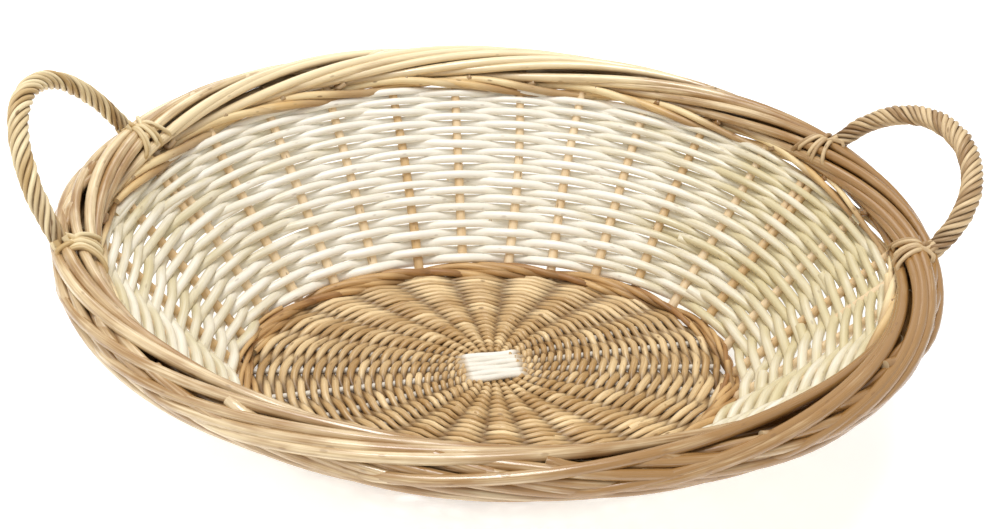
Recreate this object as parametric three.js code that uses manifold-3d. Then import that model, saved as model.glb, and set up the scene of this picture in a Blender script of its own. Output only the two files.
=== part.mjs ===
// An oval willow basket with two roped handles. Millimetres, +Z up, standing on z = 0.
//
// Each woven band (base, foot wale, side, top wale, border) is one ring with the outer shape of its rods.
// The straight rods that carry the weave, which are the base sticks, the stakes and the handle bows, are
// separate solids that run through channels in those rings.
import * as THREE from "three";
import { mergeVertices } from "three/addons/utils/BufferGeometryUtils.js";
import Module from "manifold-3d";

const wasm = await Module();
wasm.setup();

// ---------------------------------------------------------------- driving dimensions
const GAP = 0.3; // clearance kept between neighbouring solids
const RING_SEGMENTS = 40;

const RIM = { a: 250, b: 212.5, z: 125 }; // border centre line: half length, half width, height
const BORDER_RADIUS = 13.9;
const BORDER_SIDES = 8;

const BASE = { a: 155.5, b: 101.5, thick: 11 }; // woven base: half length, half width, thickness
const WALL_FOOT = { a: 163, b: 109, z: 8 }; // centre line of the wall where the stakes bend up
const WALL_HALF = 8; // half the wall's thickness, measured level
const FOOT_WALE_TOP = 16.5;
const SIDE_TOP = 103.2;
const TOP_WALE_TOP = 110.2;

const STAKES = 29;
const STAKE_RADIUS = 2.7;
const STAKE_START = 7.33; // the middle of the back lies this many stake spacings past the first stake
const STAKE_TAIL = 12; // length pushed into the base edge
const STAKE_TOP = 120; // height of the stake's end in the border

const STICKS = 6; // sticks in each of the two crossing groups
const STICK_RADIUS = 2.1;
const STICK_INSET = 16; // stick ends stop this far inside the base edge, clear of the stakes
const SPOKE_TURN = THREE.MathUtils.degToRad(7.5); // the spokes' turn from the basket's long axis
const SLATH = {
  turn: THREE.MathUtils.degToRad(8), // its turn from the basket's long axis
  long: 33, // length of the thick, split part of a pierced stick
  block: 9, // height of that part
  slot: 4.8, // height of the split
  pitch: 4.5, // spacing of the pierced sticks
  cross: 4.7, // spacing of the threaded sticks
  hole: 22, // radius of the opening that the base weave leaves round it
};

const BOW_RADIUS = 3.2;
const BOW_TIP_Z = 75; // the bow's legs reach down to this height inside the side weave
const ROPE_RADIUS = 6.2;
const ROPE_START = 23; // length of bare bow between the border's centre and the roping
// The lashing over the border; its hooks are in radians below level.
const LASH = { width: 16, thick: 5, gap: 0.9, outerHook: 0.87, innerHook: 0.3 };
// Each handle's feet, counted in stakes, its height over the border's centre line along its lean, its lean
// outwards, and the fullness of its arch (1 is an ellipse, less is squarer).
const HANDLES = {
  left: { feet: [1.84, 28.16], height: 78, lean: THREE.MathUtils.degToRad(29.4), fullness: 1.03 },
  right: { feet: [12.84, 15.5], height: 70, lean: THREE.MathUtils.degToRad(40.8), fullness: 0.76 },
};

// ---------------------------------------------------------------- willow finishes
const finish = (color, roughness) => () => new THREE.MeshStandardMaterial({ color, roughness, metalness: 0 });
const whiteWillow = finish(0xeadfb8, 0.55);
const whiteStick = finish(0xf3ecd8, 0.6);
const buffWillow = finish(0xd2a76c, 0.55);
const waleWillow = finish(0xb98346, 0.5);
const stakeWillow = finish(0xc99a5b, 0.55);
const borderWillow = finish(0xc2965f, 0.5);
const ropeWillow = finish(0xd6b67f, 0.55);

// ---------------------------------------------------------------- solids
function toSolid(geometry) {
  const bare = new THREE.BufferGeometry().setAttribute("position", geometry.getAttribute("position"));
  bare.setIndex(geometry.index);
  const merged = mergeVertices(bare, 1e-4);
  const vertProperties = new Float32Array(merged.attributes.position.array);
  const triVerts = new Uint32Array(merged.index.array);
  const solid = new wasm.Manifold(new wasm.Mesh({ numProp: 3, vertProperties, triVerts }));
  if (solid.volume() > 0) return solid;
  for (let i = 0; i < triVerts.length; i += 3) {
    [triVerts[i + 1], triVerts[i + 2]] = [triVerts[i + 2], triVerts[i + 1]];
  }
  return new wasm.Manifold(new wasm.Mesh({ numProp: 3, vertProperties, triVerts }));
}

function toGeometry(solid) {
  const { vertProperties, triVerts } = solid.getMesh();
  const geometry = new THREE.BufferGeometry();
  geometry.setAttribute("position", new THREE.BufferAttribute(vertProperties, 3));
  geometry.setIndex(new THREE.BufferAttribute(triVerts, 1));
  geometry.computeVertexNormals();
  return geometry;
}

const cutBy = (solid, tools) => tools.reduce((left, tool) => left.subtract(tool), solid);

const basket = new THREE.Group();

function place(name, solid, willow) {
  const mesh = new THREE.Mesh(toGeometry(solid), willow());
  mesh.name = name;
  basket.add(mesh);
}

// A closed band: each corner { a, b, z } of its section is swept round an ellipse of its own.
function ring(section) {
  const loop = [...section, section[0]];
  const geometry = new THREE.LatheGeometry(
    loop.map((corner, row) => new THREE.Vector2(1, row)),
    RING_SEGMENTS,
  );
  for (let i = 0; i <= RING_SEGMENTS; i++) {
    const angle = ((i % RING_SEGMENTS) / RING_SEGMENTS) * 2 * Math.PI;
    loop.forEach(({ a, b, z }, row) => {
      const vertex = i * loop.length + row;
      geometry.attributes.position.setXYZ(vertex, a * Math.cos(angle), b * Math.sin(angle), z);
    });
  }
  return toSolid(geometry);
}

// A path of straight runs with a step at each corner, so that a rod swept along it bends only there.
class CorneredPath extends THREE.Curve {
  constructor(points) {
    super();
    this.points = points;
  }
  getPointAt(share, target = new THREE.Vector3()) {
    return target.copy(this.points[Math.round(share * (this.points.length - 1))]);
  }
  getTangentAt(share, target = new THREE.Vector3()) {
    const corner = Math.round(share * (this.points.length - 1));
    const before = this.points[Math.max(corner - 1, 0)];
    const after = this.points[Math.min(corner + 1, this.points.length - 1)];
    const here = this.points[corner];
    const arriving = here.clone().sub(before).normalize();
    const leaving = after.clone().sub(here).normalize();
    return target.copy(arriving).add(leaving).normalize();
  }
}

// A round rod swept along a path in a number of steps.
function rod(path, radius, steps, sides) {
  const section = Array.from({ length: sides }, (_, i) => {
    const angle = (i / sides) * 2 * Math.PI;
    return new THREE.Vector2(radius * Math.cos(angle), radius * Math.sin(angle));
  });
  return toSolid(new THREE.ExtrudeGeometry(new THREE.Shape(section), { steps, extrudePath: path }));
}

// A stake or stick: six sides, straight between its corners.
const bars = (points, radius) => rod(new CorneredPath(points), radius, points.length - 1, 6);

// ---------------------------------------------------------------- the wall and its stakes
// A point of the wall at an angle round the oval and a height, with an offset outwards measured level.
function wall(z, offset = 0) {
  const rise = (z - WALL_FOOT.z) / (RIM.z - WALL_FOOT.z);
  return {
    a: WALL_FOOT.a + (RIM.a - WALL_FOOT.a) * rise + offset,
    b: WALL_FOOT.b + (RIM.b - WALL_FOOT.b) * rise + offset,
    z,
  };
}
const onOval = ({ a, b, z }, angle) => new THREE.Vector3(a * Math.cos(angle), b * Math.sin(angle), z);

// Stakes stand at even distances round the rim, counted clockwise from the left end.
const rimLine = new THREE.EllipseCurve(0, 0, RIM.a, RIM.b, 0, 2 * Math.PI);
rimLine.arcLengthDivisions = 720;
function stakeAngle(number) {
  const share = (1.25 + (STAKE_START - number) / STAKES) % 1;
  return 2 * Math.PI * rimLine.getUtoTmapping(share);
}

function stakePath(number) {
  const angle = stakeAngle(number);
  const middle = BASE.thick / 2;
  return [
    onOval({ a: BASE.a - STAKE_TAIL, b: BASE.b - STAKE_TAIL, z: middle }, angle),
    onOval(wall(middle), angle),
    onOval(wall(STAKE_TOP), angle),
  ];
}
const stakePaths = Array.from({ length: STAKES }, (_, number) => stakePath(number));
const channelRadius = (STAKE_RADIUS + GAP) * Math.SQRT2; // a square channel round a round stake
const stakeChannels = stakePaths.map((path) =>
  rod(new CorneredPath(path), channelRadius, path.length - 1, 4),
);
stakePaths.forEach((path, i) => {
  place(`stake_${String(i + 1).padStart(2, "0")}`, bars(path, STAKE_RADIUS), stakeWillow);
});

// ---------------------------------------------------------------- base sticks
// A stick's two far ends lie on the base oval; between them it runs straight through the slath.
function stickPath(row, quarter) {
  const step = row - (STICKS - 1) / 2;
  const fan = (step * Math.PI) / (2 * STICKS);
  const turn = SLATH.turn + quarter;
  const offset = step * (quarter ? SLATH.cross : SLATH.pitch);
  const middle = BASE.thick / 2;
  const tip = { a: BASE.a - STICK_INSET, b: BASE.b - STICK_INSET, z: middle };
  const inSlath = (along) =>
    new THREE.Vector3(
      along * Math.cos(turn) - offset * Math.sin(turn),
      along * Math.sin(turn) + offset * Math.cos(turn),
      middle,
    );
  return [
    onOval(tip, SPOKE_TURN + quarter + Math.PI - fan),
    inSlath(-SLATH.long / 2),
    inSlath(SLATH.long / 2),
    onOval(tip, SPOKE_TURN + quarter + fan),
  ];
}

const rows = Array.from({ length: STICKS }, (_, row) => row);
const stickPaths = [0, Math.PI / 2].map((quarter) => rows.map((row) => stickPath(row, quarter)));
const stickChannels = stickPaths.flat().map((path) => bars(path, STICK_RADIUS + GAP));

// The pierced sticks are thick in the slath and split along the middle; the threaded ones pass through.
function inSlathBlock(row, width, height, length) {
  const block = new THREE.BoxGeometry(length, width, height);
  block.translate(0, (row - (STICKS - 1) / 2) * SLATH.pitch, BASE.thick / 2);
  block.rotateZ(SLATH.turn);
  return toSolid(block);
}
stickPaths[0].forEach((path, row) => {
  const block = inSlathBlock(row, 2 * STICK_RADIUS, SLATH.block, SLATH.long);
  const slot = inSlathBlock(row, SLATH.pitch, SLATH.slot, STICKS * SLATH.cross);
  place(`pierced_base_stick_${row + 1}`, bars(path, STICK_RADIUS).add(block).subtract(slot), whiteStick);
});
stickPaths[1].forEach((path, row) => {
  place(`threaded_base_stick_${row + 1}`, bars(path, STICK_RADIUS), buffWillow);
});

// ---------------------------------------------------------------- handle bows
const outward = (span) => new THREE.Vector3(span.y, -span.x, 0).normalize();

function bowCurve({ feet, height, lean, fullness }) {
  const angles = feet.map(stakeAngle);
  const [from, to] = angles.map((angle) => onOval(RIM, angle));
  const centre = from.clone().add(to).multiplyScalar(0.5);
  const half = to.clone().sub(from).multiplyScalar(0.5);
  const out = outward(half);
  if (out.dot(centre) < 0) out.negate();
  const rise = out.multiplyScalar(Math.sin(lean)).add(new THREE.Vector3(0, 0, Math.cos(lean)));
  const archSteps = 10;
  const arch = Array.from({ length: archSteps + 1 }, (_, i) => {
    const swing = (i / archSteps) * Math.PI;
    return centre
      .clone()
      .addScaledVector(half, -Math.cos(swing))
      .addScaledVector(rise, height * Math.max(Math.sin(swing), 0) ** fullness);
  });
  const leg = (angle) => [onOval(wall(BOW_TIP_Z), angle), onOval(wall((BOW_TIP_Z + RIM.z) / 2), angle)];
  return new THREE.CatmullRomCurve3([...leg(angles[0]), ...arch, ...leg(angles[1]).reverse()]);
}

function ropeCurve(bow) {
  const inWall = (RIM.z - BOW_TIP_Z) / Math.cos(Math.atan2(RIM.a - WALL_FOOT.a, RIM.z - WALL_FOOT.z));
  const start = (inWall + ROPE_START) / bow.getLength();
  const steps = 14;
  return new THREE.CatmullRomCurve3(
    Array.from({ length: steps + 1 }, (_, i) => bow.getPointAt(start + (i / steps) * (1 - 2 * start))),
  );
}

// The lashing at a foot: a band of rod ends hooked over the border from outside to inside.
function lashing(angle) {
  const inner = BORDER_RADIUS + LASH.gap;
  const outer = inner + LASH.thick;
  const hook = new THREE.Shape();
  hook.absarc(0, 0, outer, -LASH.outerHook, Math.PI + LASH.innerHook, false);
  hook.absarc(0, 0, inner, Math.PI + LASH.innerHook, -LASH.outerHook, true);
  const band = new THREE.ExtrudeGeometry(hook, { depth: LASH.width, bevelEnabled: false, curveSegments: 8 });
  band.translate(0, 0, -LASH.width / 2);
  const along = new THREE.Vector3(-RIM.a * Math.sin(angle), RIM.b * Math.cos(angle), 0).normalize();
  const out = new THREE.Vector3(along.y, -along.x, 0);
  const frame = new THREE.Matrix4().makeBasis(out, new THREE.Vector3(0, 0, 1), along.clone().negate());
  band.applyMatrix4(frame.setPosition(onOval(RIM, angle)));
  return toSolid(band);
}

const bowChannels = [];
for (const [side, handle] of Object.entries(HANDLES)) {
  const curve = bowCurve(handle);
  const bowSteps = 24;
  const bowSides = 6;
  const channel = rod(curve, BOW_RADIUS + GAP, bowSteps, bowSides);
  bowChannels.push(channel);
  place(`${side}_handle_bow`, rod(curve, BOW_RADIUS, bowSteps, bowSides), stakeWillow);
  place(`${side}_handle_rope`, rod(ropeCurve(curve), ROPE_RADIUS, 16, 8).subtract(channel), ropeWillow);
  handle.feet.forEach((foot, i) => {
    const where = i === 0 ? "back" : "front";
    place(`${side}_handle_lashing_${where}`, lashing(stakeAngle(foot)).subtract(channel), ropeWillow);
  });
}

// ---------------------------------------------------------------- woven bands
const corner = (margin, z) => ({ a: BASE.a + margin, b: BASE.b + margin, z });
const baseDisc = ring([
  { a: SLATH.hole, b: SLATH.hole, z: 0 },
  corner(0, 0),
  corner(0, BASE.thick),
  { a: SLATH.hole, b: SLATH.hole, z: BASE.thick },
]);
place("base_weave", cutBy(baseDisc, [...stickChannels, ...stakeChannels]), buffWillow);

const footWale = ring([
  corner(GAP, GAP),
  corner(12, GAP),
  corner(19, 8),
  wall(FOOT_WALE_TOP, WALL_HALF),
  wall(FOOT_WALE_TOP, -WALL_HALF),
  corner(GAP, BASE.thick + GAP),
]);
place("foot_wale", cutBy(footWale, stakeChannels), waleWillow);

// A level band of the wall between two heights.
const band = (bottom, top, rows) => {
  const heights = Array.from({ length: rows + 1 }, (_, i) => bottom + ((top - bottom) * i) / rows);
  return ring([
    ...heights.map((z) => wall(z, WALL_HALF)),
    ...heights.reverse().map((z) => wall(z, -WALL_HALF)),
  ]);
};
const uprights = [...stakeChannels, ...bowChannels];
place("side_weave", cutBy(band(FOOT_WALE_TOP + GAP, SIDE_TOP, 3), uprights), whiteWillow);
place("top_wale", cutBy(band(SIDE_TOP + GAP, TOP_WALE_TOP, 1), uprights), waleWillow);

const borderSection = Array.from({ length: BORDER_SIDES }, (_, i) => {
  const angle = (i / BORDER_SIDES) * 2 * Math.PI;
  const level = BORDER_RADIUS * Math.cos(angle);
  return { a: RIM.a + level, b: RIM.b + level, z: RIM.z + BORDER_RADIUS * Math.sin(angle) };
});
place("border", cutBy(ring(borderSection), uprights), borderWillow);

// ---------------------------------------------------------------- the part's own frame
// The origin is the middle of the whole outline on the ground, so the handles' uneven lean moves the basket.
const outline = new THREE.Box3().setFromObject(basket);
const middle = outline.getCenter(new THREE.Vector3());
basket.position.set(-middle.x, -middle.y, 0);

const root = new THREE.Group();
root.add(basket);

export default root;
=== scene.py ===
import math

import bpy
from mathutils import Matrix, Vector


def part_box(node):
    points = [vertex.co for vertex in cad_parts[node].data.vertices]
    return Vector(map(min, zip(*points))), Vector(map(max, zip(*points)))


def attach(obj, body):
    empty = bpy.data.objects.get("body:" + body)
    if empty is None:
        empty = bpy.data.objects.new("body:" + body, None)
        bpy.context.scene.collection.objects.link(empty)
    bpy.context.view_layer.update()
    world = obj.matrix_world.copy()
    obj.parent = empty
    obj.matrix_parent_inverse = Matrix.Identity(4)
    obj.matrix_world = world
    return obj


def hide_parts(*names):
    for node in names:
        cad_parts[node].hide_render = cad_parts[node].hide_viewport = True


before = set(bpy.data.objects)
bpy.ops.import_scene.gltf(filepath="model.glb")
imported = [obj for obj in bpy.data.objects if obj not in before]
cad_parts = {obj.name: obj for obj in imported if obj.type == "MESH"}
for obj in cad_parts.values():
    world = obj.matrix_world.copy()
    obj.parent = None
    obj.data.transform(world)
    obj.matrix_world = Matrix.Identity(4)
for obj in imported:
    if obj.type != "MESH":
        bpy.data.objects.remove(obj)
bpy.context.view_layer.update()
scene = bpy.context.scene


# ---- Camera
# It stands in front of the basket and above it, looking down into the bowl, a little
# from the left, and is tipped a few degrees as a camera held by hand is.
border_low, border_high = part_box("border")
MIDDLE = (border_low + border_high) / 2
MIDDLE.z = 0
LOOK_AT = MIDDLE + Vector((-0.0018, 0.0003, 0.0917))
DISTANCE = 0.7284
LOOK_DOWN = 0.6150
LOOK_ASIDE = -0.1641
TIP = 0.09785
LENS = 41.99
SENSOR = 36

back = Vector((
    math.sin(LOOK_ASIDE) * math.cos(LOOK_DOWN),
    -math.cos(LOOK_ASIDE) * math.cos(LOOK_DOWN),
    math.sin(LOOK_DOWN),
))
right = (-back).cross(Vector((0, 0, 1))).normalized()
up = right.cross(-back)
turned_right = math.cos(TIP) * right + math.sin(TIP) * up
turned_up = math.cos(TIP) * up - math.sin(TIP) * right
camera = bpy.data.objects.new("camera", bpy.data.cameras.new("camera"))
camera.data.lens = LENS
camera.data.sensor_width = SENSOR
camera.data.clip_start = 0.01
camera.matrix_world = (
    Matrix.Translation(LOOK_AT + DISTANCE * back)
    @ Matrix((turned_right, turned_up, back)).transposed().to_4x4()
)
scene.collection.objects.link(camera)
scene.camera = camera


# ---- Studio
# A white floor and three soft lamps in a bright white room. The strongest lamp hangs nearly
# overhead, so the rods keep a bright line along their tops and dark gaps between them.
ROOM_LIGHT = 0.60
LAMPS = {  # place, size and power
    "key": ((-0.15, -0.15, 1.7), 0.7, 17),
    "fill": ((-1.2, -0.4, 1.3), 1.2, 4),
    "back": ((-0.2, 1.4, 1.3), 1.0, 5),
}
LAMPS_AIM = Vector((0, 0, 0.06))
FLOOR_HALF = 20.0
FLOOR_HEIGHT = -0.0008
FLOOR_WHITE = (0.93, 0.93, 0.93, 1)
FLOOR_GLOW = 0.45

scene.view_settings.view_transform = "Standard"
room = bpy.data.worlds.new("white room")
room.use_nodes = True
room.node_tree.nodes["Background"].inputs["Color"].default_value = (1, 1, 1, 1)
room.node_tree.nodes["Background"].inputs["Strength"].default_value = ROOM_LIGHT
scene.world = room

for lamp_name, (place, size, power) in LAMPS.items():
    lamp = bpy.data.objects.new(lamp_name, bpy.data.lights.new(lamp_name, "AREA"))
    lamp.data.size = size
    lamp.data.energy = power
    lamp.location = place
    lamp.rotation_euler = (LAMPS_AIM - Vector(place)).to_track_quat("-Z", "Y").to_euler()
    scene.collection.objects.link(lamp)

floor_mesh = bpy.data.meshes.new("floor")
floor_mesh.from_pydata(
    [(x * FLOOR_HALF, y * FLOOR_HALF, FLOOR_HEIGHT) for x, y in ((-1, -1), (1, -1), (1, 1), (-1, 1))],
    [],
    [(0, 1, 2, 3)],
)
floor = bpy.data.objects.new("floor", floor_mesh)
scene.collection.objects.link(floor)
paint = bpy.data.materials.new("white floor")
paint.use_nodes = True
floor_coat = paint.node_tree.nodes["Principled BSDF"]
floor_coat.inputs["Base Color"].default_value = FLOOR_WHITE
floor_coat.inputs["Roughness"].default_value = 0.9
floor_coat.inputs["Emission Color"].default_value = (1, 1, 1, 1)
floor_coat.inputs["Emission Strength"].default_value = FLOOR_GLOW
floor_mesh.materials.append(paint)


# ---- Base sticks
# Six stout white sticks are split through the middle and six thinner buff ones are threaded
# through the splits; outside this knot, the slath, all twelve are fanned out to carry the base.
class Field:
    """A quantity inside a node tree. Arithmetic on it adds the nodes that work it out."""

    def __init__(self, tree, socket):
        self.tree = tree
        self.socket = socket

    def apply(self, operation, *others):
        maths = self.tree.nodes.new("ShaderNodeMath")
        maths.operation = operation
        for socket, value in zip(maths.inputs, (self, *others)):
            feed(self.tree, socket, value)
        return Field(self.tree, maths.outputs[0])

    def __add__(self, other):
        return self.apply("ADD", other)

    def __mul__(self, other):
        return self.apply("MULTIPLY", other)

    def __sub__(self, other):
        return self.apply("SUBTRACT", other)

    def __rsub__(self, other):
        return self * -1 + other

    def __truediv__(self, other):
        return self.apply("DIVIDE", other)

    def __mod__(self, other):
        return self.apply("FLOORED_MODULO", other)

    def __pow__(self, other):
        return self.apply("POWER", other)

    __radd__ = __add__
    __rmul__ = __mul__

    def floor(self):
        return self.apply("FLOOR")

    def size(self):
        return self.apply("ABSOLUTE")

    def sign(self):
        return self.apply("SIGN")

    def sin(self):
        return self.apply("SINE")

    def cos(self):
        return self.apply("COSINE")

    def exp(self):
        return self.apply("EXPONENT")

    def ease(self, start, end):
        """0 before start and 1 after end, with a smooth change between."""
        return use(self.tree, "ShaderNodeMapRange", {0: self, 1: start, 2: end},
                   interpolation_type="SMOOTHSTEP")


def feed(tree, socket, value):
    if isinstance(value, Field):
        tree.links.new(value.socket, socket)
    else:
        socket.default_value = value


def use(tree, kind, inputs, output=0, **settings):
    """Adds a node, sets it, feeds its inputs by name or number and gives one output."""
    made = tree.nodes.new(kind)
    for name, value in settings.items():
        setattr(made, name, value)
    for name, value in inputs.items():
        feed(tree, made.inputs[name], value)
    return Field(tree, made.outputs[output])


SOCKETS = {"number": "NodeSocketFloat", "count": "NodeSocketInt", "place": "NodeSocketVector",
           "shape": "NodeSocketGeometry", "finish": "NodeSocketMaterial", "colour": "NodeSocketColor"}


def new_tree(name, inputs, outputs, kind="GeometryNodeTree"):
    """An empty tree with named inputs and outputs, its inputs as fields, and its end node."""
    tree = bpy.data.node_groups.new(name, kind)
    for socket_name, form in inputs.items():
        tree.interface.new_socket(socket_name, in_out="INPUT", socket_type=SOCKETS[form])
    for socket_name, form in outputs.items():
        tree.interface.new_socket(socket_name, in_out="OUTPUT", socket_type=SOCKETS[form])
    start = tree.nodes.new("NodeGroupInput")
    end = tree.nodes.new("NodeGroupOutput")
    fields = {socket_name: Field(tree, start.outputs[socket_name]) for socket_name in inputs}
    return tree, fields, end


def vector(tree, x, y, z):
    return use(tree, "ShaderNodeCombineXYZ", {0: x, 1: y, 2: z})


def parts_of(tree, place):
    """The x, y and z of a place."""
    apart = tree.nodes.new("ShaderNodeSeparateXYZ")
    feed(tree, apart.inputs[0], place)
    return [Field(tree, socket) for socket in apart.outputs]


def chance(tree, key, seed, low=0.0, high=1.0):
    """A random number between low and high, the same wherever the key is the same."""
    return use(tree, "FunctionNodeRandomValue", {2: low, 3: high, 7: key, 8: seed}, output=1)


def group(tree, inner, inputs):
    """Places one tree inside another."""
    return use(tree, "GeometryNodeGroup", inputs, node_tree=inner)


def wandering(tree, x, y, z=0.0):
    """A number between -0.5 and 0.5 that drifts slowly as the three keys change."""
    return use(tree, "ShaderNodeTexNoise", {
        "Vector": vector(tree, x, y, z), "Scale": 1.0}, output="Fac") - 0.5


def split_up(tree, steps):
    """Points are numbered in rods of so many steps: the rod's number and the step along it."""
    index = use(tree, "GeometryNodeInputIndex", {})
    return (index / steps).floor(), index % steps


def named(tree, attribute, form="FLOAT"):
    return use(tree, "GeometryNodeInputNamedAttribute", {"Name": attribute}, data_type=form)


def store(tree, shape, attribute, value, form="FLOAT", domain="POINT"):
    return use(tree, "GeometryNodeStoreNamedAttribute",
               {"Geometry": shape, "Name": attribute, "Value": value},
               data_type=form, domain=domain)


# Every rod in the basket is drawn by this tree: points in order, gathered into rods by
# number, become round tapering lengths of willow with flat cut ends.
rods_tree, given, end = new_tree(
    "Willow rods",
    {"Points": "count", "Rod": "count", "Place": "place", "Radius": "number", "Tone": "number",
     "Painted Shade": "number", "Sides": "count", "Willow": "finish"},
    {"Rods": "shape"},
)
laid = use(rods_tree, "GeometryNodePoints", {"Count": given["Points"]})
laid = store(rods_tree, laid, "thick", given["Radius"])
laid = store(rods_tree, laid, "tone", given["Tone"])
# Painted shade: how dark a point is drawn to stand for shade in gaps and under other rods.
laid = store(rods_tree, laid, "painted_shade", given["Painted Shade"])
laid = store(rods_tree, laid, "rod", given["Rod"])
laid = use(rods_tree, "GeometryNodeSetPosition", {"Geometry": laid, "Position": given["Place"]})
lines = use(rods_tree, "GeometryNodePointsToCurves", {
    "Points": laid, "Curve Group ID": given["Rod"],
    "Weight": use(rods_tree, "GeometryNodeInputIndex", {}),
})
length_along = use(rods_tree, "GeometryNodeSplineParameter", {}, output="Length")
rod_number = use(rods_tree, "FunctionNodeFloatToInt", {0: named(rods_tree, "rod")})
lines = store(rods_tree, lines, "along", length_along + chance(rods_tree, rod_number, 5, 0, 40))
section = use(rods_tree, "GeometryNodeCurvePrimitiveCircle", {
    "Resolution": given["Sides"], "Radius": 1.0})
section = store(rods_tree, section, "girth", use(rods_tree, "GeometryNodeInputPosition", {}),
                "FLOAT_VECTOR")
solid = use(rods_tree, "GeometryNodeCurveToMesh", {
    "Curve": lines, "Profile Curve": section, "Fill Caps": True, "Scale": named(rods_tree, "thick")})
across_x, across_y, _ = parts_of(rods_tree, named(rods_tree, "girth", "FLOAT_VECTOR"))
thick = named(rods_tree, "thick")
solid = store(rods_tree, solid, "straight", vector(
    rods_tree, across_x * thick, across_y * thick, named(rods_tree, "along"),
), "FLOAT_VECTOR")
MOST_CORNERS_OF_BARK = 4.5  # only the flat face at a cut end has more than four corners
corners = use(rods_tree, "GeometryNodeInputMeshFaceNeighbors", {}, output="Vertex Count")
is_end = corners.apply("GREATER_THAN", MOST_CORNERS_OF_BARK)
solid = store(rods_tree, solid, "cut", is_end, domain="FACE")
for helper in ("girth", "along", "thick", "rod"):
    solid = use(rods_tree, "GeometryNodeRemoveAttribute", {"Geometry": solid, "Name": helper})
solid = use(rods_tree, "GeometryNodeRealizeInstances", {"Geometry": solid})
solid = use(rods_tree, "GeometryNodeSetMaterial", {"Geometry": solid, "Material": given["Willow"]})
feed(rods_tree, end.inputs["Rods"], solid)


# Painted shade: deep between the rods, near the core they are laid round, they are drawn dark brown.
gap_shade_tree, given, end = new_tree(
    "Painted gap shade",
    {"Rods": "shape", "Core": "shape", "Dark": "number", "Clear": "number", "Strength": "number"},
    {"Rods": "shape"},
)
from_core = use(gap_shade_tree, "GeometryNodeProximity", {0: given["Core"]}, output="Distance")
gap = use(gap_shade_tree, "ShaderNodeMapRange", {
    0: from_core, 1: given["Clear"], 2: given["Dark"], 4: given["Strength"],
}, interpolation_type="SMOOTHSTEP")
darkened = store(gap_shade_tree, given["Rods"], "painted_shade", named(gap_shade_tree, "painted_shade").apply("MAXIMUM", gap))
feed(gap_shade_tree, end.inputs["Rods"], darkened)


def paint_gap_shade(tree, rods, core, dark, clear, strength):
    return group(tree, gap_shade_tree, {
        "Rods": rods, "Core": core, "Dark": dark, "Clear": clear, "Strength": strength})


HAIR = 0.0001


def thread(tree, line):
    """A line given a hair's thickness, so that rods can tell how far they are from it."""
    hair = use(tree, "GeometryNodeCurvePrimitiveCircle", {"Resolution": 3, "Radius": HAIR})
    return use(tree, "GeometryNodeCurveToMesh", {0: line, 1: hair})


# The skin of peeled willow: fine streaks along the rod, paler and darker stretches, a few
# brown specks where buds were, a pithy pale face where a rod is cut, and painted shade in the gaps.
skin_tree, given, end = new_tree(
    "Willow skin",
    {"Pale": "colour", "Deep": "colour", "Speck": "colour", "Painted Shade": "colour", "Cut Face": "colour",
     "Streaks": "number", "Specks": "number", "Dry": "number"},
    {"Colour": "colour", "Roughness": "number", "Relief": "number"},
    kind="ShaderNodeTree",
)


def of_surface(attribute, output):
    return use(skin_tree, "ShaderNodeAttribute", {}, output=output, attribute_name=attribute)


def straightened(sideways, along):
    """The place on the rod as if it lay straight, in so many cycles per metre."""
    return use(skin_tree, "ShaderNodeVectorMath", {
        0: of_surface("straight", "Vector"), 1: (sideways, sideways, along)}, operation="MULTIPLY")


def grain(sideways, along):
    return use(skin_tree, "ShaderNodeTexNoise", {
        "Vector": straightened(sideways, along), "Scale": 1.0, "Detail": 3.0}, output="Fac")


def blend(amount, first, second):
    return use(skin_tree, "ShaderNodeMix", {0: amount, 6: first, 7: second}, output=2, data_type="RGBA")


TONE_SHARE = 0.72
STRETCH_SHARE = 0.36
PAINTED_SHADE_SHARE = 0.72
streak = grain(1100, 30)
stretch = grain(60, 22)
tone = of_surface("tone", "Fac")
depth = tone * TONE_SHARE + stretch.ease(0.35, 0.65) * STRETCH_SHARE + (streak - 0.5) * given["Streaks"]
colour = blend(depth.ease(0.0, 1.0), given["Pale"], given["Deep"])
spots = use(skin_tree, "ShaderNodeTexVoronoi", {
    "Vector": straightened(170, 60), "Scale": 1.0}, output="Distance")
bud = spots.ease(0.16, 0.07) * given["Specks"]
colour = blend(bud, colour, given["Speck"])
cut = of_surface("cut", "Fac")
colour = blend(cut, colour, given["Cut Face"])
# Painted shade: where rods lie in gaps or under others, a dark colour is mixed in for the shade there.
colour = blend(of_surface("painted_shade", "Fac") * PAINTED_SHADE_SHARE, colour, given["Painted Shade"])
feed(skin_tree, end.inputs["Colour"], colour)
feed(skin_tree, end.inputs["Roughness"], given["Dry"] + (streak - 0.5) * 0.35 + cut * 0.2)
feed(skin_tree, end.inputs["Relief"], streak * 0.6 + stretch * 0.25 + bud)


SPECK = (0.22, 0.11, 0.04)
CUT_FACE = (0.72, 0.56, 0.33)
RELIEF_STRENGTH = 0.45
RELIEF_DEPTH = 0.0004


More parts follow.
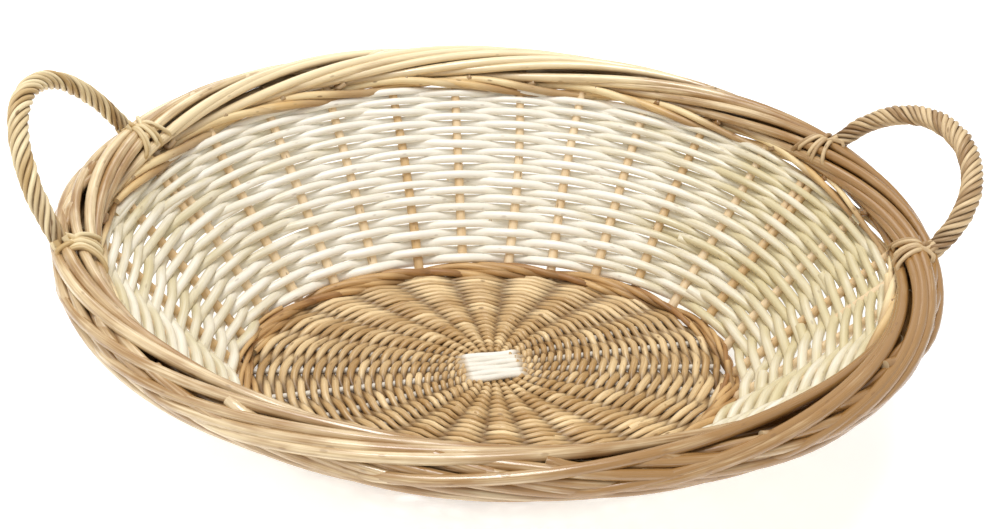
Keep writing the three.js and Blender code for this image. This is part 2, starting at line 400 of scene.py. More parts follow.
def willow(name, pale, deep, painted_shade, streaks=0.5, specks=0.7, dry=0.40, sheen=0.4):
    """A willow finish: the skin above with its own colours and painted shade, under a thin natural gloss."""
    finish = bpy.data.materials.new(name)
    finish.use_nodes = True
    tree = finish.node_tree
    skin = tree.nodes.new("ShaderNodeGroup")
    skin.node_tree = skin_tree
    colours = {"Pale": pale, "Deep": deep, "Speck": SPECK, "Painted Shade": painted_shade, "Cut Face": CUT_FACE}
    for socket, colour in colours.items():
        skin.inputs[socket].default_value = (*colour, 1)
    for socket, value in {"Streaks": streaks, "Specks": specks, "Dry": dry}.items():
        skin.inputs[socket].default_value = value
    coat = tree.nodes["Principled BSDF"]
    relief = tree.nodes.new("ShaderNodeBump")
    relief.inputs["Strength"].default_value = RELIEF_STRENGTH
    relief.inputs["Distance"].default_value = RELIEF_DEPTH
    coat.inputs["Specular IOR Level"].default_value = sheen
    tree.links.new(skin.outputs["Colour"], coat.inputs["Base Color"])
    tree.links.new(skin.outputs["Roughness"], coat.inputs["Roughness"])
    tree.links.new(skin.outputs["Relief"], relief.inputs["Height"])
    tree.links.new(relief.outputs["Normal"], coat.inputs["Normal"])
    return finish


def make(piece, tree, values, line=None):
    """Runs a tree with these values on a bare object, or on a line, and keeps the mesh."""
    bare = bpy.data.meshes.new(piece)
    if line:
        bare.from_pydata(line, [(i, i + 1) for i in range(len(line) - 1)], [])
    holder = bpy.data.objects.new(piece + "_holder", bare)
    scene.collection.objects.link(holder)
    modifier = holder.modifiers.new("weave", "NODES")
    modifier.node_group = tree
    for item in tree.interface.items_tree:
        if item.in_out == "INPUT" and item.name in values:
            modifier[item.identifier] = values[item.name]
    evaluated = holder.evaluated_get(bpy.context.evaluated_depsgraph_get())
    mesh = bpy.data.meshes.new_from_object(evaluated)
    mesh.name = piece
    bpy.data.objects.remove(holder)
    made = bpy.data.objects.new(piece, mesh)
    scene.collection.objects.link(made)
    return made


def fit(piece, slot, *nodes):
    """The finished piece belongs to the basket and stands for its nodes; the slot is not used."""
    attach(piece, "root")
    if nodes:
        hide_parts(*nodes)


# Rounds of base weave are counted outwards from the slath. They start nearly round and
# spread faster along the length of the basket than across it, once the pull of the slath,
# which holds the first rounds back, has let go.
SLATH_HALF = 0.017
FIRST_SHORT = 0.0155
ROUND_LONG, ROUND_SHORT = 0.0074, 0.00405
HELD_BACK, LET_GO = 0.020, 0.222
round_tree, given, end = new_tree(
    "On the base", {"Turn": "number", "Round": "number", "Height": "number"}, {"Place": "place"})
rounds = given["Round"]
long_way = rounds * ROUND_LONG + SLATH_HALF - (1 - (rounds * -LET_GO).exp()) * HELD_BACK
short_way = rounds * ROUND_SHORT + FIRST_SHORT
feed(round_tree, end.inputs["Place"], vector(
    round_tree, long_way * given["Turn"].cos() + MIDDLE.x, short_way * given["Turn"].sin() + MIDDLE.y,
    given["Height"]))

STICK_MIDDLE = 0.0060


def base_plane(tree):
    """A flat sheet through the middle of the sticks, larger than the base."""
    sheet = use(tree, "GeometryNodeMeshGrid", {
        "Size X": 0.5, "Size Y": 0.4, "Vertices X": 2, "Vertices Y": 2})
    return use(tree, "GeometryNodeTransform", {
        "Geometry": sheet, "Translation": (0.0, 0.0, STICK_MIDDLE)})


SLATH_TURN = math.radians(8)
SLATH_SHARE = 0.11
STICK_ANGLE = math.radians(15)
STICK_ROUNDS = 21.6
KNOT_ROUND = 0.0045
FANNED_OUT = 2.6

stick_tree, given, end = new_tree(
    "Base sticks",
    {"Sticks": "count", "Steps": "count", "Quarter": "number", "Pitch": "number", "Radius": "number",
     "Stoutness": "number", "Lift": "number", "Rounds": "number", "Seed": "count", "Willow": "finish"},
    {"Rods": "shape"},
)
row, step = split_up(stick_tree, given["Steps"])
across = row - (given["Sticks"] - 1) / 2
travel = step / (given["Steps"] - 1) * 2 - 1
far = travel.size()
rounds = ((far - SLATH_SHARE) / (1 - SLATH_SHARE) * given["Rounds"]).apply("MAXIMUM", 0)
straight_out = travel.sign() * (
    far.apply("MINIMUM", SLATH_SHARE) / SLATH_SHARE * SLATH_HALF + rounds * KNOT_ROUND)
bowed = (travel * 30 + row * 2).sin() * 0.0005
aside = across * given["Pitch"] + bowed + chance(stick_tree, row, given["Seed"], -0.0004, 0.0004)
turn = given["Quarter"] + SLATH_TURN
knot = vector(
    stick_tree,
    straight_out * turn.cos() - aside * turn.sin() + MIDDLE.x,
    straight_out * turn.sin() + aside * turn.cos() + MIDDLE.y,
    given["Lift"] + STICK_MIDDLE,
)
fan = across * STICK_ANGLE
ray = (given["Quarter"] + STICK_ANGLE / 2 + fan * travel.sign()
       + (1 - travel.sign()) * (math.pi / 2))
spread = group(stick_tree, round_tree, {"Turn": ray, "Round": rounds, "Height": STICK_MIDDLE})
leaving = rounds.ease(0.0, FANNED_OUT)
place = use(stick_tree, "ShaderNodeMix", {0: leaving, 4: knot, 5: spread}, output=1, data_type="VECTOR")
# Painted shade: sticks are drawn darker where they run under the weave and near the base's middle plane.
shaded_under_weave = rounds.ease(0.0, 0.4) * (1 - rounds.ease(4.0, 7.0) * (1 - across.size() * 0.3))
stick_rods = group(stick_tree, rods_tree, {
    "Points": given["Sticks"] * given["Steps"], "Rod": row, "Place": place,
    "Radius": given["Radius"] * ((1 - leaving) * given["Stoutness"] + 1 - far * 0.12),
    "Tone": chance(stick_tree, row, given["Seed"]), "Painted Shade": shaded_under_weave, "Sides": 10,
    "Willow": given["Willow"]})
feed(stick_tree, end.inputs["Rods"], paint_gap_shade(
    stick_tree, stick_rods, base_plane(stick_tree), dark=0.0006, clear=0.0018, strength=0.8))

white_stick = willow("white stick", (0.93, 0.91, 0.86), (0.80, 0.75, 0.65), (0.40, 0.27, 0.13),
                     streaks=0.35, specks=0.1)
buff_stick = willow("buff stick", (0.50, 0.33, 0.15), (0.30, 0.17, 0.06), (0.06, 0.03, 0.01))
pierced = make("pierced_base_sticks", stick_tree, {
    "Sticks": 6, "Steps": 81, "Quarter": 0.0, "Pitch": 0.0045, "Radius": 0.0023, "Stoutness": 0.04,
    "Lift": 0.0027, "Rounds": STICK_ROUNDS, "Seed": 3, "Willow": white_stick})
fit(pierced, "white_stick", *[f"pierced_base_stick_{i}" for i in range(1, 7)])
pierced_under = make("pierced_base_stick_splits", stick_tree, {
    "Sticks": 6, "Steps": 13, "Quarter": 0.0, "Pitch": 0.0045, "Radius": 0.0020, "Stoutness": 0.0,
    "Lift": -0.0030, "Rounds": 0.5, "Seed": 4, "Willow": white_stick})
fit(pierced_under, "white_stick")
threaded = make("threaded_base_sticks", stick_tree, {
    "Sticks": 6, "Steps": 81, "Quarter": math.pi / 2, "Pitch": 0.0047, "Radius": 0.0021, "Stoutness": 0.0,
    "Lift": 0.0, "Rounds": STICK_ROUNDS, "Seed": 5, "Willow": buff_stick})
fit(threaded, "buff_willow", *[f"threaded_base_stick_{i}" for i in range(1, 7)])


# ---- Base weave
# Two thin buff weavers are twisted round each other and round the sticks, one passing over
# a stick as the other passes under it, from the slath out to the edge of the base.
weave_tree, given, end = new_tree(
    "Pairing",
    {"Rods per Weaver": "count", "Steps per Stick": "count", "Sticks per Rod": "number",
     "Overlap": "number", "Sticks": "number", "First Round": "number", "Rise": "number",
     "Twist": "number", "Radius": "number", "Seed": "count", "Willow": "finish"},
    {"Rods": "shape"},
)
steps = ((given["Sticks per Rod"] + given["Overlap"]) * given["Steps per Stick"]).floor()
rod, step = split_up(weave_tree, steps)
weaver = (rod / given["Rods per Weaver"]).floor()
turn_of_rod = rod % given["Rods per Weaver"]
share = step / (steps - 1)
sticks_done = turn_of_rod * given["Sticks per Rod"] + step / given["Steps per Stick"]
swing = (sticks_done + weaver) * math.pi
zigzag = ((sticks_done + weaver) % 2 - 1).size() * 2 - 1
over = zigzag * 0.72 + swing.cos() * 0.28
drift = wandering(weave_tree, sticks_done * 0.45, weaver * 7)
lead_in = 1 - share.ease(0.0, 0.06)
rounds = (sticks_done / given["Sticks"] + given["First Round"] + swing.sin() * given["Twist"]
          + drift * 0.30 - lead_in * 0.25)
height = over * given["Rise"] + STICK_MIDDLE + drift * 0.0012
turn = sticks_done * STICK_ANGLE
place = group(weave_tree, round_tree, {"Turn": turn, "Round": rounds, "Height": height})
endways = turn.cos() ** 2
radius = (given["Radius"] * (1.10 - share * 0.20) * (0.84 + 0.16 * rounds.ease(0, 6))
          * (1 + endways * rounds.ease(3, 9) * 0.34))
# Painted shade: under-strokes, the outer rounds at the ends and rods near the base's middle are drawn dark.
weave_rods = group(weave_tree, rods_tree, {
    "Points": steps * given["Rods per Weaver"] * 2, "Rod": rod, "Place": place, "Radius": radius,
    "Tone": chance(weave_tree, rod, given["Seed"]),
    "Painted Shade": over.ease(0.2, -0.7) * 0.8 + endways * rounds.ease(5, 14) * 0.14,
    "Sides": 8, "Willow": given["Willow"]})
feed(weave_tree, end.inputs["Rods"], paint_gap_shade(
    weave_tree, weave_rods, base_plane(weave_tree), dark=0.0014, clear=0.0037, strength=1.0))

buff_willow = willow("buff willow", (0.88, 0.67, 0.38), (0.45, 0.27, 0.105), (0.085, 0.03, 0.006),
                     streaks=0.9, dry=0.34)
base_weave = make("base_weave_pairing", weave_tree, {
    "Rods per Weaver": 14, "Steps per Stick": 7, "Sticks per Rod": 36.8, "Overlap": 1.6,
    "Sticks": 24.0, "First Round": 0.25, "Rise": 0.0034, "Twist": 0.30, "Radius": 0.0019,
    "Seed": 11, "Willow": buff_willow})
fit(base_weave, "buff_willow", "base_weave")


# ---- Stakes
# Twenty-nine upright rods are pushed in beside the base sticks, bent up at the edge of the
# base and lean outwards evenly all round; the whole wall is woven on them.
STAKES = 29
RIM_LONG, RIM_WIDE, RIM_HIGH = 0.250, 0.2125, 0.125
FOOT_LONG, FOOT_WIDE, FOOT_HIGH = 0.163, 0.109, 0.008
BACK_STAKE = 7.33  # the middle of the back is a third of the way from stake 7 to stake 8


def part_way(start, finish, share):
    return start + (finish - start) * share


def sample(tree, line, share):
    """The place, the direction along and the direction aside at a share of a line's length."""
    found = tree.nodes.new("GeometryNodeSampleCurve")
    found.mode = "FACTOR"
    found.use_all_curves = True
    feed(tree, found.inputs["Curves"], line)
    feed(tree, found.inputs["Factor"], share)
    return [Field(tree, found.outputs[name]) for name in ("Position", "Tangent", "Normal")]


# A place beside a stake, on an oval of given half length and half width. The stakes are
# evenly spaced round the rim and are numbered clockwise from 0, which is at the left end.
oval_tree, given, end = new_tree(
    "Round the oval",
    {"Stake": "number", "Half Length": "number", "Half Width": "number", "Height": "number"},
    {"Place": "place"},
)
rim_line = use(oval_tree, "GeometryNodeCurvePrimitiveCircle", {"Resolution": 360, "Radius": 1.0})
rim_line = use(oval_tree, "GeometryNodeTransform", {
    "Geometry": rim_line, "Scale": (RIM_LONG, RIM_WIDE, 1.0)})
lap = ((BACK_STAKE - given["Stake"]) / STAKES + 0.25) % 1
on_rim, _, _ = sample(oval_tree, rim_line, lap)
rim_x, rim_y, _ = parts_of(oval_tree, on_rim)
feed(oval_tree, end.inputs["Place"], vector(
    oval_tree,
    rim_x / RIM_LONG * given["Half Length"] + MIDDLE.x,
    rim_y / RIM_WIDE * given["Half Width"] + MIDDLE.y,
    given["Height"]))

# A place on the wall beside a stake, at a height, moved out square to the leaning wall.
WALL_LEVEL, WALL_DOWN = 0.78, 0.62
wall_tree, given, end = new_tree(
    "On the wall", {"Stake": "number", "Height": "number", "Offset": "number"}, {"Place": "place"})
rise = (given["Height"] - FOOT_HIGH) / (RIM_HIGH - FOOT_HIGH)
level = given["Offset"] * WALL_LEVEL
on_wall = group(wall_tree, oval_tree, {
    "Stake": given["Stake"],
    "Half Length": part_way(FOOT_LONG, RIM_LONG, rise) + level,
    "Half Width": part_way(FOOT_WIDE, RIM_WIDE, rise) + level,
    "Height": given["Height"] - given["Offset"] * WALL_DOWN})
feed(wall_tree, end.inputs["Place"], on_wall)

upright_tree, given, end = new_tree(
    "Uprights",
    {"Stakes": "count", "Steps": "count", "Foot": "number", "Top": "number", "Radius": "number",
     "Seed": "count", "Willow": "finish"},
    {"Rods": "shape"},
)
stake, step = split_up(upright_tree, given["Steps"])
share = step / (given["Steps"] - 1)
sway = (share * math.pi).sin() * chance(upright_tree, stake, given["Seed"], -0.10, 0.10)
place = group(upright_tree, wall_tree, {
    "Stake": stake + sway, "Height": part_way(given["Foot"], given["Top"], share),
    "Offset": chance(upright_tree, stake, 8, -0.0006, 0.0006)})
stake_rods = group(upright_tree, rods_tree, {
    "Points": given["Stakes"] * given["Steps"], "Rod": stake, "Place": place,
    "Radius": given["Radius"] * (1.08 - share * 0.16),
    "Tone": chance(upright_tree, stake, 21), "Painted Shade": 0.0, "Sides": 10, "Willow": given["Willow"]})
feed(upright_tree, end.inputs["Rods"], stake_rods)

stake_willow = willow("stake willow", (0.88, 0.70, 0.46), (0.66, 0.44, 0.21), (0.30, 0.14, 0.05),
                      dry=0.30, sheen=0.6)
stakes = make("stakes", upright_tree, {
    "Stakes": STAKES, "Steps": 24, "Foot": 0.0035, "Top": 0.121, "Radius": 0.0033, "Seed": 2,
    "Willow": stake_willow})
fit(stakes, "stake_willow", *[f"stake_{i:02d}" for i in range(1, STAKES + 1)])


# ---- Foot wale
# Three brown rods are woven round the foot of the stakes for two rounds, each passing
# outside two stakes and inside one, which sets the stakes upright and covers the base edge.
WEAVER_LAG = 0.4
FIRST_WEAVER = 0.3
wale_tree, given, end = new_tree(
    "Waling",
    {"Weavers": "count", "Rods per Weaver": "count", "Steps per Stake": "count",
     "Stakes per Rod": "number", "Overlap": "number", "Low": "number", "High": "number",
     "Swing": "number", "Roll": "number", "Inset": "number", "Radius": "number", "Seed": "count",
     "Willow": "finish"},
    {"Rods": "shape"},
)
steps = ((given["Stakes per Rod"] + given["Overlap"]) * given["Steps per Stake"]).floor()
rod, step = split_up(wale_tree, steps)
weaver = (rod / given["Rods per Weaver"]).floor()
turn_of_rod = rod % given["Rods per Weaver"]
share = step / (steps - 1)
stakes_done = turn_of_rod * given["Stakes per Rod"] + step / given["Steps per Stake"]
swing = (stakes_done + weaver) * (2 * math.pi / 3)
climb = stakes_done / (given["Stakes per Rod"] * given["Rods per Weaver"])
drift = chance(wale_tree, rod, given["Seed"], -0.001, 0.001)
place = group(wale_tree, wall_tree, {
    "Stake": stakes_done + weaver * WEAVER_LAG + FIRST_WEAVER,
    "Height": part_way(given["Low"], given["High"], climb) + swing.sin() * given["Roll"] + drift,
    "Offset": given["Inset"] + swing.cos() * given["Swing"]})
# Painted shade: each wale rod is drawn darker where it dips lowest in its roll behind the others.
wale_rods = group(wale_tree, rods_tree, {
    "Points": steps * given["Rods per Weaver"] * given["Weavers"], "Rod": rod, "Place": place,
    "Radius": given["Radius"] * (1.10 - share.ease(0.5, 1.0) * 0.45) * (0.75 + 0.25 * share.ease(0, 0.08)),
    "Tone": chance(wale_tree, rod, 17), "Painted Shade": swing.sin().ease(0.1, -0.9) * 0.8, "Sides": 8,
    "Willow": given["Willow"]})
feed(wale_tree, end.inputs["Rods"], wale_rods)

wale_willow = willow("wale willow", (0.66, 0.43, 0.19), (0.33, 0.16, 0.055), (0.12, 0.05, 0.015), streaks=0.8)
foot_wale = make("foot_wale_rods", wale_tree, {
    "Weavers": 3, "Rods per Weaver": 4, "Steps per Stake": 7, "Stakes per Rod": 14.5, "Overlap": 1.4,
    "Low": 0.0058, "High": 0.0120, "Swing": 0.0048, "Roll": 0.0018, "Inset": -0.0028, "Radius": 0.0024,
    "Seed": 6, "Willow": wale_willow})
fit(foot_wale, "wale_willow", "foot_wale")


# ---- Side weave
# White peeled rods are woven singly, in front of one stake and behind the next. The number of
# stakes is odd, so each round falls opposite the last; the rods thin towards the top.
def painted_light_and_shade(stake, right, back, ends, most):
    """Painted light and shade by place: a rod's colour paler at the back and left, deeper at both ends."""
    from_back = (stake - BACK_STAKE) * (2 * math.pi / STAKES)
    return from_back.sin() * right - from_back.cos() * back - from_back.cos() ** 2 * ends + most


randing_tree, given, end = new_tree(
    "Randing",
    {"Rods": "count", "Steps per Stake": "count", "Stakes per Rod": "number", "Overlap": "number",
     "Rows": "number", "Low": "number", "High": "number", "Swing": "number", "Radius": "number",
     "Top Radius": "number", "Seed": "count", "Willow": "finish"},
    {"Rods": "shape"},
)
steps = ((given["Stakes per Rod"] + given["Overlap"]) * given["Steps per Stake"]).floor()
rod, step = split_up(randing_tree, steps)
share = step / (steps - 1)
stakes_done = rod * given["Stakes per Rod"] + step / given["Steps per Stake"]
progress = (stakes_done / (given["Rows"] * STAKES)).apply("MINIMUM", 1)
climb = progress * 1.15 - progress ** 3 * 0.15  # the rows close up towards the top
drift = wandering(randing_tree, stakes_done * 0.55, 3.0)
thickness = part_way(given["Radius"], given["Top Radius"], progress)
butt_aside = (1 - share.ease(0.0, 0.05)) * thickness * 0.8
bend = (stakes_done * math.pi).cos()
place = group(randing_tree, wall_tree, {
    "Stake": stakes_done,
    "Height": part_way(given["Low"], given["High"], climb) + drift * 0.0016 + butt_aside,
    "Offset": bend * (given["Swing"] + (thickness - given["Radius"]) * 0.7) + drift * 0.0012})
# Painted light and shade: side rods paler at the back and left, deeper on the right and at both ends.
light_and_shade_here = painted_light_and_shade(stakes_done, right=0.22, back=0.12, ends=0.84, most=0.72)
# Painted shade: side rods are drawn a touch darker midway between stakes, where they cross the wall.
side_rods = group(randing_tree, rods_tree, {
    "Points": steps * given["Rods"], "Rod": rod, "Place": place,
    "Radius": thickness * (1.10 - share * 0.20) * (1 - share.ease(0.93, 1.0) * 0.35),
    "Tone": light_and_shade_here + chance(randing_tree, rod, given["Seed"], -0.25, 0.25),
    "Painted Shade": bend.size().ease(0.4, 0.0) * 0.06, "Sides": 10, "Willow": given["Willow"]})
feed(randing_tree, end.inputs["Rods"], side_rods)

white_willow = willow("white willow", (0.94, 0.90, 0.80), (0.66, 0.57, 0.34), (0.55, 0.38, 0.15),
                      streaks=0.6, specks=0.3, dry=0.32, sheen=0.5)
side_weave = make("side_weave_rods", randing_tree, {
    "Rods": 33, "Steps per Stake": 8, "Stakes per Rod": 20.6, "Overlap": 1.6, "Rows": 23.0,
    "Low": 0.0140, "High": 0.1105, "Swing": 0.0042, "Radius": 0.0034, "Top Radius": 0.0026,
    "Seed": 31, "Willow": white_willow})
fit(side_weave, "white_willow", "side_weave")


# ---- Top wale
# A last round of three thin straw-coloured rods, woven like the foot wale, locks the side weave
# before the stakes are bent down.
top_wale_willow = willow("top wale willow", (0.90, 0.74, 0.44), (0.68, 0.44, 0.18), (0.24, 0.10, 0.03))
top_wale = make("top_wale_rods", wale_tree, {
    "Weavers": 3, "Rods per Weaver": 2, "Steps per Stake": 7, "Stakes per Rod": 14.5, "Overlap": 1.3,
    "Low": 0.1128, "High": 0.1150, "Swing": 0.0044, "Roll": 0.0024, "Inset": -0.0036, "Radius": 0.0026,
    "Seed": 7, "Willow": top_wale_willow})
fit(top_wale, "wale_willow", "top_wale")


# ---- Border
# The tops of the stakes are bent down to the right and laid over each other, which makes a
# thick rolled edge: some run over the top, some along the outside, and short ones cross
# between them. Cut ends are left on the inside.
ROLL = 0.0107


def round_roll(tree, stake, angle, out):
    """A place beside a stake, at an angle round the core of the border and so far out from it."""
    return group(tree, oval_tree, {
        "Stake": stake, "Half Length": angle.cos() * out + RIM_LONG,
        "Half Width": angle.cos() * out + RIM_WIDE, "Height": angle.sin() * out + RIM_HIGH})


# Each rod starts at its own stake and winds part of the way round the core as it runs on.
roll_tree, given, end = new_tree(
    "Border rods",
    {"Stakes": "count", "Steps": "count", "Start": "number", "Reach": "number", "From": "number",
     "To": "number", "Roll": "number", "Dive": "number", "Radius": "number", "Taper": "number",
     "Painted Shade": "number", "Seed": "count", "Willow": "finish"},
    {"Rods": "shape"},
)
stake, step = split_up(roll_tree, given["Steps"])
share = step / (given["Steps"] - 1)
uneven = chance(roll_tree, stake, given["Seed"], -1.0, 1.0)
angle = part_way(given["From"], given["To"], share) + uneven * 0.15
dive = share.ease(0.88, 1.0) * given["Dive"]
rise = (1 - share.ease(0.0, 0.2)) * 0.25
out = given["Roll"] * (1 - dive - rise) + uneven * 0.0006
beside = stake + given["Start"] + given["Reach"] * share * (1 + uneven * 0.06)
place = round_roll(roll_tree, beside, angle, out)
# Painted light and shade: border rods paler at the back and left, deeper on the right and at both ends.
light_and_shade_here = painted_light_and_shade(stake + given["Reach"] * share, right=0.48, back=0.48, ends=0.64, most=0.93)
# Painted shade: rods are drawn darker where they start, where they dive under others and near the core.
roll_rods = group(roll_tree, rods_tree, {
    "Points": given["Stakes"] * given["Steps"], "Rod": stake, "Place": place,
    "Radius": given["Radius"] * (1.06 - share * given["Taper"]) * (1 + uneven * 0.06)
    * (1 - share.ease(0.93, 1.0) * 0.25),
    "Tone": light_and_shade_here + chance(roll_tree, stake, given["Seed"] + 40, -0.25, 0.30),
    "Painted Shade": given["Painted Shade"] + share.ease(0.9, 1.0) * 0.2 + share.ease(0.25, 0.0) * 0.5, "Sides": 12,
    "Willow": given["Willow"]})
rim_core = use(roll_tree, "GeometryNodeCurvePrimitiveCircle", {"Resolution": 180, "Radius": 1.0})
rim_core = use(roll_tree, "GeometryNodeTransform", {
    "Geometry": rim_core, "Scale": (RIM_LONG, RIM_WIDE, 1.0),
    "Translation": (MIDDLE.x, MIDDLE.y, RIM_HIGH)})
feed(roll_tree, end.inputs["Rods"], paint_gap_shade(
    roll_tree, roll_rods, thread(roll_tree, rim_core), dark=0.0088, clear=0.0126, strength=0.75))

border_willow = willow("border willow", (0.90, 0.73, 0.45), (0.35, 0.185, 0.058), (0.20, 0.085, 0.018),
                       streaks=1.1, specks=0.4, dry=0.24, sheen=0.9)
# Painted shade: crossing rods are drawn a little darker and the cut ends on the inside much darker.
BORDER_RODS = {
    "border_over_rods": {"Start": 0.2, "Reach": 7.4, "From": math.radians(218), "To": math.radians(-20),
                         "Roll": ROLL + 0.0003, "Dive": 0.36, "Radius": 0.0031, "Taper": 0.14, "Painted Shade": 0.0,
                         "Seed": 12},
    "border_outer_rods": {"Start": 0.0, "Reach": 6.7, "From": math.radians(-140), "To": math.radians(85),
                          "Roll": ROLL - 0.0009, "Dive": 0.5, "Radius": 0.0031, "Taper": 0.20, "Painted Shade": 0.0,
                          "Seed": 13},
    "border_crossing_rods": {"Start": 0.1, "Reach": 1.8, "From": math.radians(-50), "To": math.radians(72),
                             "Roll": 0.0078, "Dive": -0.36, "Radius": 0.0033, "Taper": 0.05, "Painted Shade": 0.1,
                             "Seed": 14},
    "border_stubs": {"Start": 0.12, "Reach": 0.12, "From": math.radians(216), "To": math.radians(194),
                     "Roll": 0.0132, "Dive": 0.0, "Radius": 0.0020, "Taper": 0.0, "Painted Shade": 0.8,
                     "Seed": 15},
}
for piece_name, values in BORDER_RODS.items():
    border_piece = make(piece_name, roll_tree, {
        "Stakes": STAKES, "Steps": 40, "Willow": border_willow, **values})
    nodes = ["border"] if piece_name == "border_over_rods" else []
    fit(border_piece, "border_willow", *nodes)


# ---- Handles
# A bent rod, the bow, has both ends pushed down into the weave beside stakes. A rope of thin
# straw-coloured rods is wound round it, and the rod ends are hooked over the border to lash it.
def stake_direction(number):
    """The angle round the oval at which a stake stands, by equal steps along the rim."""
    slices = 1440
    turns = [2 * math.pi * i / slices for i in range(slices + 1)]
    rim = [Vector((RIM_LONG * math.cos(turn), RIM_WIDE * math.sin(turn))) for turn in turns]
    lengths = [(rim[i + 1] - rim[i]).length for i in range(slices)]
    wanted = ((BACK_STAKE - number) / STAKES + 0.25) % 1 * sum(lengths)
    passed = 0
    while wanted > lengths[passed]:
        wanted -= lengths[passed]
        passed += 1
    return 2 * math.pi * (passed + wanted / lengths[passed]) / slices


def beside_wall(direction, height):
    """A place on the leaning wall at a height, in a direction round the oval."""
    rise = (height - FOOT_HIGH) / (RIM_HIGH - FOOT_HIGH)
    return MIDDLE + Vector((
        part_way(FOOT_LONG, RIM_LONG, rise) * math.cos(direction),
        part_way(FOOT_WIDE, RIM_WIDE, rise) * math.sin(direction),
        height))


BOW_TIP_HIGH = 0.075
ARCH_STEPS = 10


def bow_line(feet, height, lean, fullness):
    """The points of a bow: down the wall at both feet, and an arch that leans outwards."""
    directions = [stake_direction(foot) for foot in feet]
    ends = [beside_wall(direction, RIM_HIGH) for direction in directions]
    centre = (ends[0] + ends[1]) / 2
    half = (ends[1] - ends[0]) / 2
    out = Vector((half.y, -half.x, 0)).normalized()
    if out.dot(centre - MIDDLE) < 0:
        out.negate()
    rise = out * math.sin(lean) + Vector((0, 0, math.cos(lean)))
    legs = [[beside_wall(direction, tall) for tall in (BOW_TIP_HIGH, (BOW_TIP_HIGH + RIM_HIGH) / 2)]
            for direction in directions]
    arch = []
    for i in range(ARCH_STEPS + 1):
        swing = i / ARCH_STEPS * math.pi
        arch.append(centre - half * math.cos(swing) + rise * height * max(math.sin(swing), 0) ** fullness)
    return [*legs[0], *arch, *reversed(legs[1])]


def smooth_bow(tree, bow):
    smooth = use(tree, "GeometryNodeMeshToCurve", {"Mesh": bow})
    smooth = use(tree, "GeometryNodeCurveSplineType", {"Curve": smooth}, spline_type="CATMULL_ROM")
    return use(tree, "GeometryNodeSetSplineResolution", {"Geometry": smooth, "Resolution": 12})


def along_bow(tree, bow, share, aside, round_it):
    """A place at a share of the bow's length, moved aside from its middle in a direction round it."""
    middle, tangent, normal = sample(tree, smooth_bow(tree, bow), share)
    third = use(tree, "ShaderNodeVectorMath", {0: tangent, 1: normal}, operation="CROSS_PRODUCT")
    first_part = use(tree, "ShaderNodeVectorMath", {0: normal, 3: aside * round_it.cos()}, operation="SCALE")
    second_part = use(tree, "ShaderNodeVectorMath", {0: third, 3: aside * round_it.sin()}, operation="SCALE")
    both = use(tree, "ShaderNodeVectorMath", {0: first_part, 1: second_part}, operation="ADD")
    return use(tree, "ShaderNodeVectorMath", {0: middle, 1: both}, operation="ADD")


roping_tree, given, end = new_tree(
    "Roping",
    {"Bow": "shape", "Strands": "count", "Steps": "count", "From": "number", "To": "number",
     "Turns": "number", "Aside": "number", "Neck": "number", "Radius": "number", "Seed": "count",
     "Willow": "finish"},
    {"Rods": "shape"},
)
strand, step = split_up(roping_tree, given["Steps"])
share = step / (given["Steps"] - 1)
uneven = wandering(roping_tree, share * 5, strand * 3.1, given["Seed"])
full = share.ease(0.0, 0.22) * (1 - share.ease(0.78, 1.0))
place = along_bow(
    roping_tree, given["Bow"], part_way(given["From"], given["To"], share),
    given["Aside"] * (given["Neck"] + (1 - given["Neck"]) * full) + uneven * 0.0018,
    (strand / given["Strands"] + given["Turns"] * share + uneven * 0.05) * (2 * math.pi))
strand_rods = group(roping_tree, rods_tree, {
    "Points": given["Strands"] * given["Steps"], "Rod": strand, "Place": place,
    "Radius": given["Radius"] * (1 + uneven * 0.3) * (0.82 + full * 0.18),
    "Tone": chance(roping_tree, strand, given["Seed"]), "Painted Shade": 0.0, "Sides": 8,
    "Willow": given["Willow"]})
# Painted shade: strands are drawn dark in the grooves close to the bow; a bare bow gets none.
feed(roping_tree, end.inputs["Rods"], paint_gap_shade(
    roping_tree, strand_rods, thread(roping_tree, smooth_bow(roping_tree, given["Bow"])),
    dark=given["Aside"], clear=given["Aside"] + given["Radius"] * 0.8,
    strength=given["Aside"].ease(0, 0.001)))

# Where the rope meets the border its strands part and hook over it, some inwards, some out.
lashing_tree, given, end = new_tree(
    "Lashing",
    {"Bow": "shape", "Strands": "count", "Steps": "count", "From": "number", "To": "number",
     "Foot": "number", "Spread": "number", "Aside": "number", "Roll": "number", "Radius": "number",
     "Seed": "count", "Willow": "finish"},
    {"Rods": "shape"},
)
strand, step = split_up(lashing_tree, given["Steps"])
share = step / (given["Steps"] - 1)
inwards = (strand % 3).apply("LESS_THAN", 1.5) * 2 - 1
uneven = chance(lashing_tree, strand, given["Seed"], -1.0, 1.0)
fanned = strand / (given["Strands"] - 1) * 2 - 1
down_bow = given["From"] + (given["To"] - given["From"]) * share.apply("MINIMUM", 0.5) * 2
beside_bow = along_bow(
    lashing_tree, given["Bow"], down_bow, given["Aside"] * (1 + share),
    (strand / given["Strands"] + uneven * 0.04) * (2 * math.pi))
reach = (share - 0.3) / 0.7
bent = inwards * 0.55 + 1.45 + uneven * 0.25
angle = inwards * (reach.apply("MAXIMUM", 0) * bent - 0.2) + math.pi / 2
out = given["Roll"] - share.ease(0.82, 1.0) * 0.006
beside = given["Foot"] + fanned * given["Spread"] * (0.15 + share ** 2 * 1.1)
over_border = round_roll(lashing_tree, beside, angle, out)
place = use(lashing_tree, "ShaderNodeMix", {0: share.ease(0.08, 0.5), 4: beside_bow, 5: over_border},
            output=1, data_type="VECTOR")
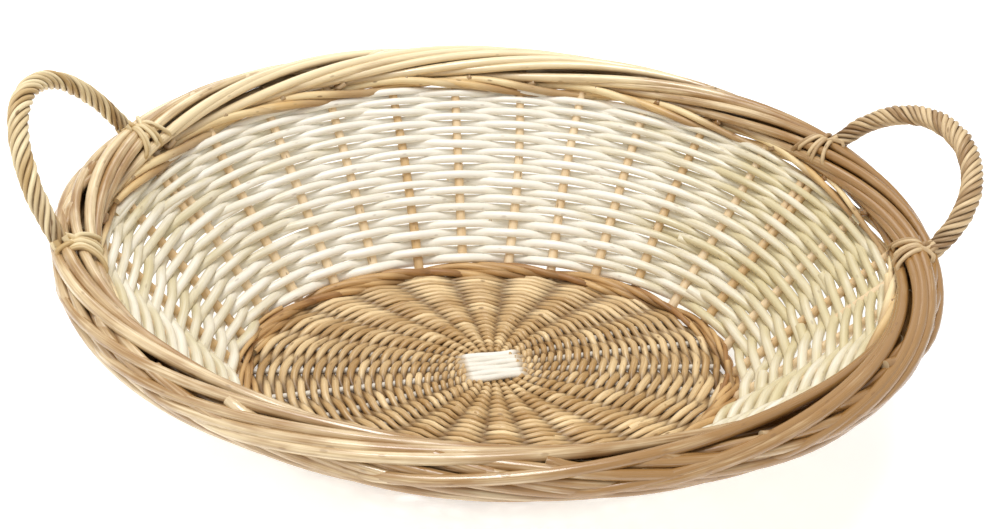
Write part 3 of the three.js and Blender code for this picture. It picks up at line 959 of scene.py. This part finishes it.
# Painted shade: each strand is drawn darker at its end, where it tucks under the border.
hook_rods = group(lashing_tree, rods_tree, {
    "Points": given["Strands"] * given["Steps"], "Rod": strand, "Place": place,
    "Radius": given["Radius"] * (1.08 - share * 0.25), "Tone": chance(lashing_tree, strand, given["Seed"]),
    "Painted Shade": share.ease(0.85, 1.0) * 0.7, "Sides": 8, "Willow": given["Willow"]})
feed(lashing_tree, end.inputs["Rods"], hook_rods)

ROPE_ABOVE_RIM = 0.012
STRANDS_JOIN = 0.012  # as a share of the bow's length
HANDLES = {
    "left": {
        "feet": (1.84, 28.16), "height": 0.078, "lean": math.radians(29.4), "fullness": 1.03,
        "rope": {"Turns": 4.6, "Aside": 0.0041, "Radius": 0.0016},
        "willow": willow("left rope willow", (0.84, 0.70, 0.43), (0.52, 0.35, 0.15), (0.13, 0.055, 0.018),
                         streaks=1.0)},
    "right": {
        "feet": (12.84, 15.5), "height": 0.070, "lean": math.radians(40.8), "fullness": 0.76,
        "rope": {"Turns": 5.4, "Aside": 0.0049, "Radius": 0.0018},
        "willow": willow("right rope willow", (0.72, 0.54, 0.31), (0.36, 0.22, 0.10), (0.10, 0.04, 0.012),
                         streaks=1.0)},
}
for side, handle in HANDLES.items():
    line = bow_line(handle["feet"], handle["height"], handle["lean"], handle["fullness"])
    bow = make(f"{side}_bow", roping_tree, {
        "Strands": 1, "Steps": 60, "From": 0.0, "To": 1.0, "Turns": 0.0, "Aside": 0.0, "Neck": 1.0,
        "Radius": 0.0034, "Seed": 1, "Willow": stake_willow}, line)
    fit(bow, "stake_willow", f"{side}_handle_bow")
    lengths = [(line[i + 1] - line[i]).length for i in range(len(line) - 1)]
    at_rim = sum(lengths[:2]) / sum(lengths)
    above = at_rim + ROPE_ABOVE_RIM / sum(lengths)
    rope = make(f"{side}_rope", roping_tree, {
        "Strands": 7, "Steps": 130, "From": above, "To": 1 - above, "Neck": 0.90, "Seed": 9,
        "Willow": handle["willow"], **handle["rope"]}, line)
    fit(rope, f"{side}_rope_willow", f"{side}_handle_rope")
    for where, foot, near, far in (("back", handle["feet"][0], above + STRANDS_JOIN, at_rim),
                                   ("front", handle["feet"][1], 1 - above - STRANDS_JOIN, 1 - at_rim)):
        hooks = make(f"{side}_lashing_{where}", lashing_tree, {
            "Strands": 7, "Steps": 30, "From": near, "To": far, "Foot": foot, "Spread": 0.30,
            "Aside": 0.0040, "Roll": 0.0148, "Radius": 0.0016, "Seed": 4, "Willow": handle["willow"]}, line)
        fit(hooks, f"{side}_rope_willow", f"{side}_handle_lashing_{where}")
